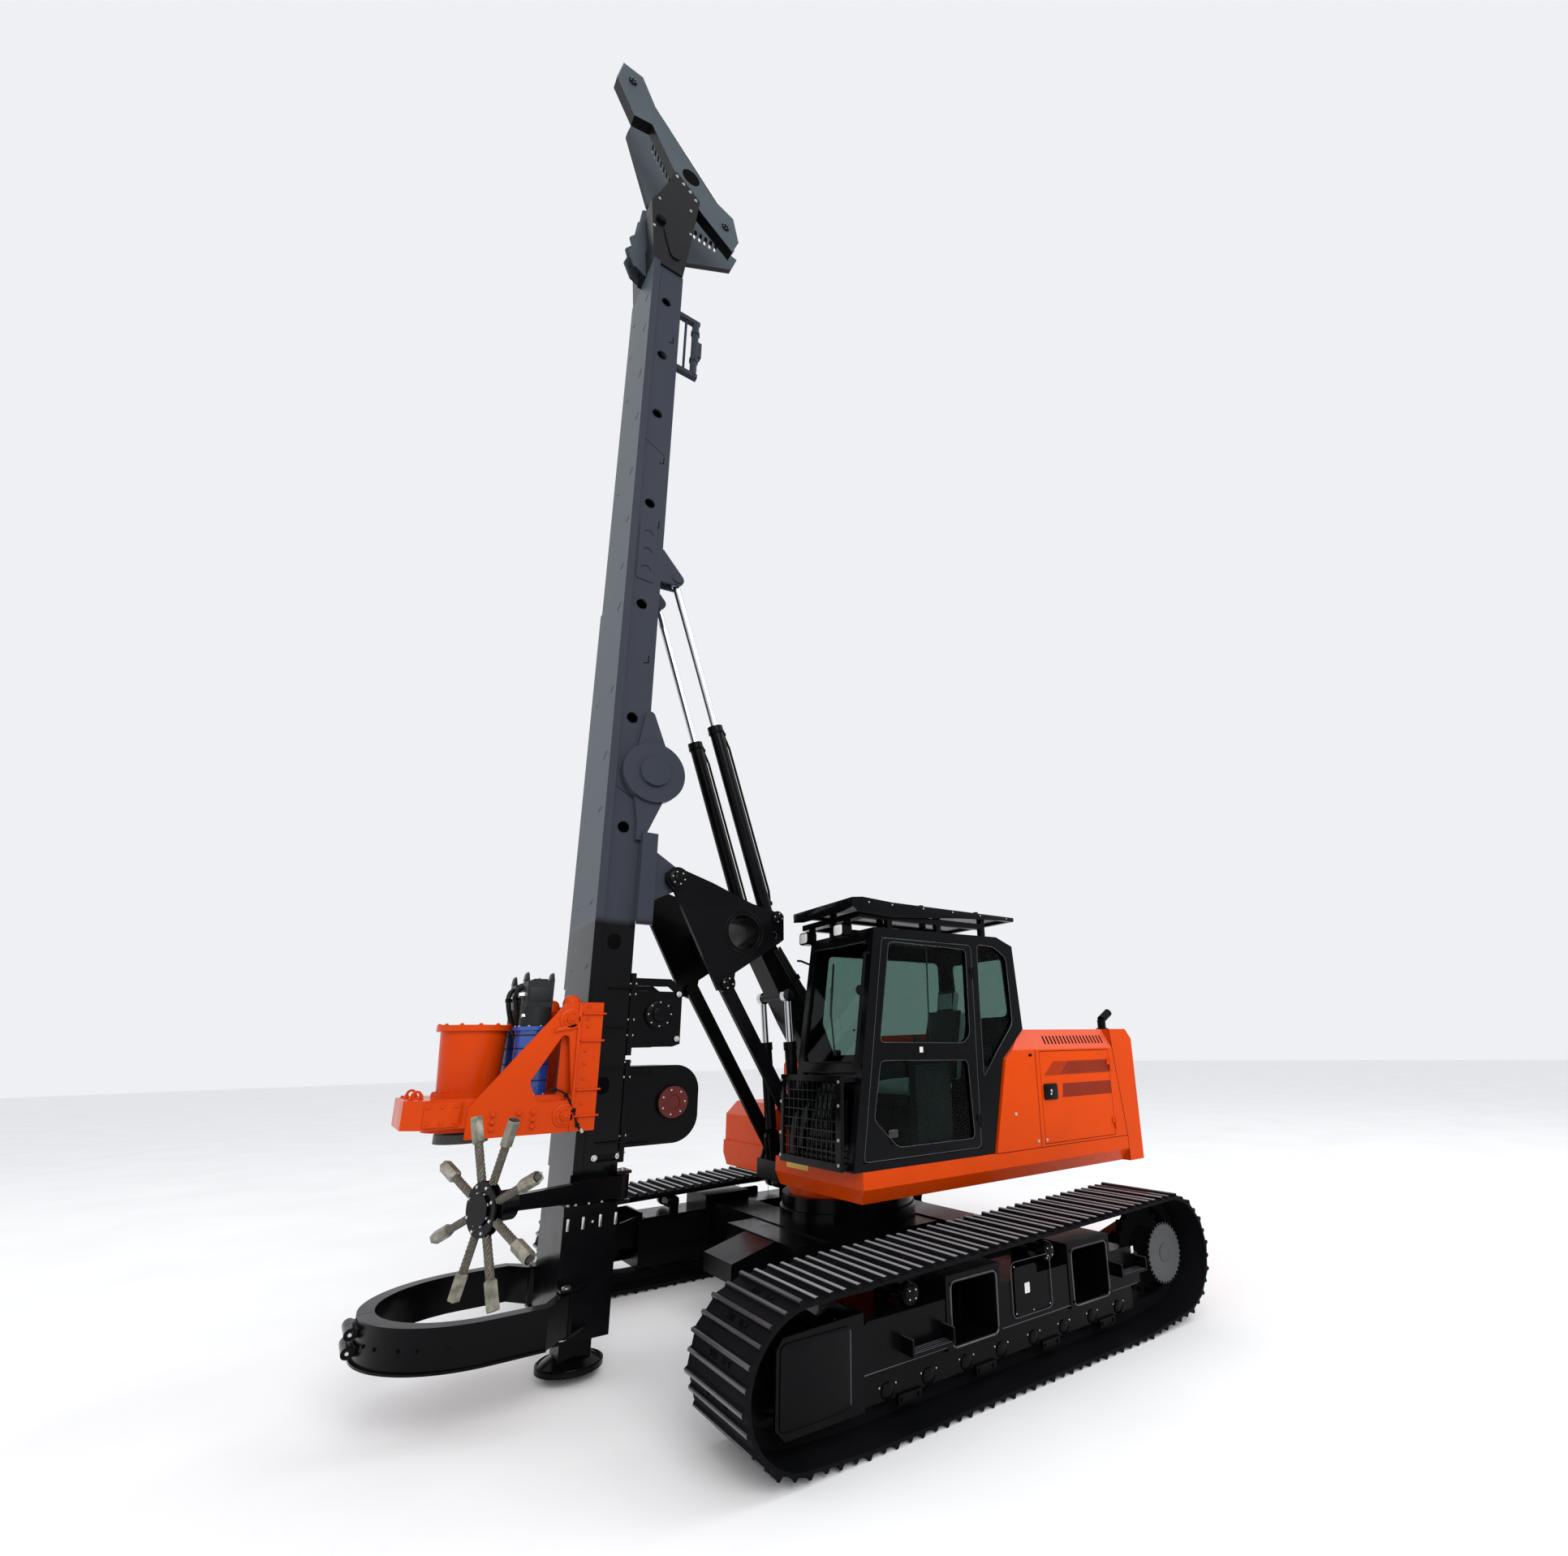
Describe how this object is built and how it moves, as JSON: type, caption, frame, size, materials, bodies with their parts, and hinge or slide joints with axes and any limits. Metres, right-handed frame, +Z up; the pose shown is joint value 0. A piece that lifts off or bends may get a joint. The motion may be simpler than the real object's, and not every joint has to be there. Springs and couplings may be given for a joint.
{
  "type": "crawler pile driver rig",
  "caption": "Pile driver rig on extending tracks: cab, parallel-linkage boom, tall tilting mast, rotary drive on a sled, auger guide and cleaner.",
  "frame": {"origin": "middle of the footprint box, on the ground", "axes": "+X forward to the mast, +Y to the cab side, +Z up"},
  "size_m": [6.5, 4.48, 12.79],
  "materials": {
    "track_steel": "satin",
    "frame_black": "gloss",
    "mast_paint": "satin",
    "body_orange": "gloss",
    "cover_coral": "satin",
    "cab_black": "gloss",
    "gearbox_blue": "gloss",
    "rod_chrome": "polished",
    "machined_steel": "satin",
    "tinted_glass": "polished",
    "seat_cloth": "matte",
    "cab_trim": "matte",
    "engine_cast": "matte",
    "hose_rubber": "matte"
  },
  "bodies": {
    "undercarriage": {"car_body": "frame_black", "slewing_ring": "frame_black"},
    "track_side_left": {"track_left": "track_steel", "sprocket_left": "track_steel", "idler_left": "track_steel", "rollers_left": "track_steel", "track_frame_left": "frame_black"},
    "track_side_right": {"track_right": "track_steel", "sprocket_right": "track_steel", "idler_right": "track_steel", "rollers_right": "track_steel", "track_frame_right": "frame_black"},
    "upper_structure": {"deck": "body_orange", "main_frame": "frame_black", "hood": "cover_coral", "counterweight": "body_orange", "rear_panel": "body_orange", "right_tank": "body_orange", "toolbox": "body_orange", "engine_block": "engine_cast", "exhaust": "frame_black", "cab_shell": "cab_black", "cab_glass": "tinted_glass", "roof_guard": "frame_black", "front_guard": "frame_black", "seat": "seat_cloth", "cab_controls": "cab_trim"},
    "cab_door": {"cab_door": "cab_black", "door_glass": "tinted_glass"},
    "engine_door_left": {"engine_door_left": "body_orange"},
    "engine_door_right": {"engine_door_right": "body_orange"},
    "boom": {"boom": "frame_black", "boom_hoses": "hose_rubber"},
    "support_link_left": {"support_link_left": "frame_black"},
    "support_link_right": {"support_link_right": "frame_black"},
    "luff_barrels": {"luff_barrels": "frame_black"},
    "luff_rods": {"luff_rods": "rod_chrome"},
    "mast_carrier": {"mast_carrier": "frame_black"},
    "tilt_barrels": {"tilt_barrels": "frame_black"},
    "tilt_rods": {"tilt_rods": "rod_chrome"},
    "mast": {"mast": "mast_paint", "sheave_housings": "mast_paint", "mast_foot": "frame_black", "winches": "frame_black", "hose_roller": "frame_black", "head_frame": "frame_black"},
    "foot_jack": {"foot_jack": "frame_black"},
    "winch_drum": {"winch_drum": "machined_steel"},
    "head_sheave_front": {"head_sheave_front": "frame_black"},
    "head_sheave_rear": {"head_sheave_rear": "frame_black"},
    "sled": {"sled": "body_orange", "rotary_drive": "body_orange", "drum": "body_orange", "gearboxes": "gearbox_blue", "motors": "frame_black"},
    "spindle": {"spindle": "machined_steel"},
    "guide_half_left": {"guide_half_left": "frame_black"},
    "guide_half_right": {"guide_half_right": "frame_black"},
    "cleaner_arm": {"cleaner_arm": "frame_black"},
    "star": {"star": "machined_steel"}
  },
  "joints": [
    {"name": "left_track_extend", "type": "slide", "parent": "undercarriage", "child": "track_side_left", "axis": [0, 1, 0], "range_m": [-0.45, 0]},
    {"name": "right_track_extend", "type": "slide", "parent": "undercarriage", "child": "track_side_right", "axis": [0, -1, 0], "range_m": [-0.45, 0]},
    {"name": "slew", "type": "hinge", "parent": "undercarriage", "child": "upper_structure", "pos_m": [-0.5, 0, 0.93], "axis": [0, 0, 1], "range_deg": [-15, 15]},
    {"name": "cab_door_swing", "type": "hinge", "parent": "upper_structure", "child": "cab_door", "pos_m": [-0.917, 1.392, 2.2], "axis": [0, 0, 1], "range_deg": [0, 165]},
    {"name": "engine_door_left_swing", "type": "hinge", "parent": "upper_structure", "child": "engine_door_left", "pos_m": [-2.698, 1.412, 1.7], "axis": [0, 0, 1], "range_deg": [0, 110]},
    {"name": "engine_door_right_swing", "type": "hinge", "parent": "upper_structure", "child": "engine_door_right", "pos_m": [-2.698, -1.412, 1.7], "axis": [0, 0, -1], "range_deg": [0, 110]},
    {"name": "boom_luff", "type": "hinge", "parent": "upper_structure", "child": "boom", "pos_m": [-0.33, 0, 1.74], "axis": [0, -1, 0], "range_deg": [-10, 10]},
    {"name": "link_left_swing", "type": "hinge", "parent": "upper_structure", "child": "support_link_left", "pos_m": [0.12, 0.332, 1.3], "axis": [0, -1, 0], "range_deg": [-10, 10]},
    {"name": "link_right_swing", "type": "hinge", "parent": "upper_structure", "child": "support_link_right", "pos_m": [0.12, -0.332, 1.3], "axis": [0, -1, 0], "range_deg": [-10, 10]},
    {"name": "carrier_swing", "type": "hinge", "parent": "boom", "child": "mast_carrier", "pos_m": [0.52, 0, 3.15], "axis": [0, -1, 0], "range_deg": [-10, 10]},
    {"name": "luff_barrel_swing", "type": "hinge", "parent": "upper_structure", "child": "luff_barrels", "pos_m": [0.185, 0, 1.42], "axis": [0, -1, 0], "range_deg": [-8, 8]},
    {"name": "luff_stroke", "type": "slide", "parent": "luff_barrels", "child": "luff_rods", "axis": [0.0938, 0, 0.9956], "range_m": [-0.1, 0.1]},
    {"name": "mast_tilt", "type": "hinge", "parent": "mast_carrier", "child": "mast", "pos_m": [1.45, 0, 3.55], "axis": [0, -1, 0], "range_deg": [-3, 75]},
    {"name": "tilt_barrel_swing", "type": "hinge", "parent": "mast_carrier", "child": "tilt_barrels", "pos_m": [0.51, 0, 3.3], "axis": [0, -1, 0], "range_deg": [-3.2, 77.4]},
    {"name": "tilt_stroke", "type": "slide", "parent": "tilt_barrels", "child": "tilt_rods", "axis": [0.3226, 0, 0.9466], "range_m": [-1.19, 0.05]},
    {"name": "foot_jack_stroke", "type": "slide", "parent": "mast", "child": "foot_jack", "axis": [0, 0, -1], "range_m": [-0.12, 0.06]},
    {"name": "sled_travel", "type": "slide", "parent": "mast", "child": "sled", "axis": [0, 0, 1], "range_m": [0, 7.3]},
    {"name": "spindle_spin", "type": "hinge", "parent": "sled", "child": "spindle", "pos_m": [2.74, 0, 1.9], "axis": [0, 0, 1], "continuous": true},
    {"name": "winch_spin", "type": "hinge", "parent": "mast", "child": "winch_drum", "pos_m": [1.49, 0, 2.46], "axis": [0, 1, 0], "continuous": true},
    {"name": "front_sheave_spin", "type": "hinge", "parent": "mast", "child": "head_sheave_front", "pos_m": [2.45, 0.24, 12.44], "axis": [0, 1, 0], "continuous": true},
    {"name": "rear_sheave_spin", "type": "hinge", "parent": "mast", "child": "head_sheave_rear", "pos_m": [1.3, 0.24, 11.235], "axis": [0, 1, 0], "continuous": true},
    {"name": "guide_left_swing", "type": "hinge", "parent": "mast", "child": "guide_half_left", "pos_m": [2.06, 0.42, 0.52], "axis": [0, 0, -1], "range_deg": [-50, 0]},
    {"name": "guide_right_swing", "type": "hinge", "parent": "mast", "child": "guide_half_right", "pos_m": [2.06, -0.42, 0.52], "axis": [0, 0, -1], "range_deg": [0, 50]},
    {"name": "cleaner_swing", "type": "hinge", "parent": "mast", "child": "cleaner_arm", "pos_m": [1.74, 0.42, 1.255], "axis": [0, 0, -1], "range_deg": [-55, 0]},
    {"name": "star_spin", "type": "hinge", "parent": "cleaner_arm", "child": "star", "pos_m": [2.712, 0.95, 1.308], "axis": [0.9397, 0.342, 0], "continuous": true}
  ],
  "couplings": [
    {"joint": "link_left_swing", "follows": "boom_luff", "ratio": 1},
    {"joint": "link_right_swing", "follows": "boom_luff", "ratio": 1},
    {"joint": "carrier_swing", "follows": "boom_luff", "ratio": -1},
    {"joint": "luff_barrel_swing", "follows": "boom_luff", "ratio": 0.78},
    {"joint": "luff_stroke", "follows": "boom_luff", "m_per_rad": 0.541},
    {"joint": "tilt_barrel_swing", "follows": "mast_tilt", "ratio": 1.028},
    {"joint": "tilt_stroke", "follows": "mast_tilt", "m_per_rad": -0.9016}
  ]
}
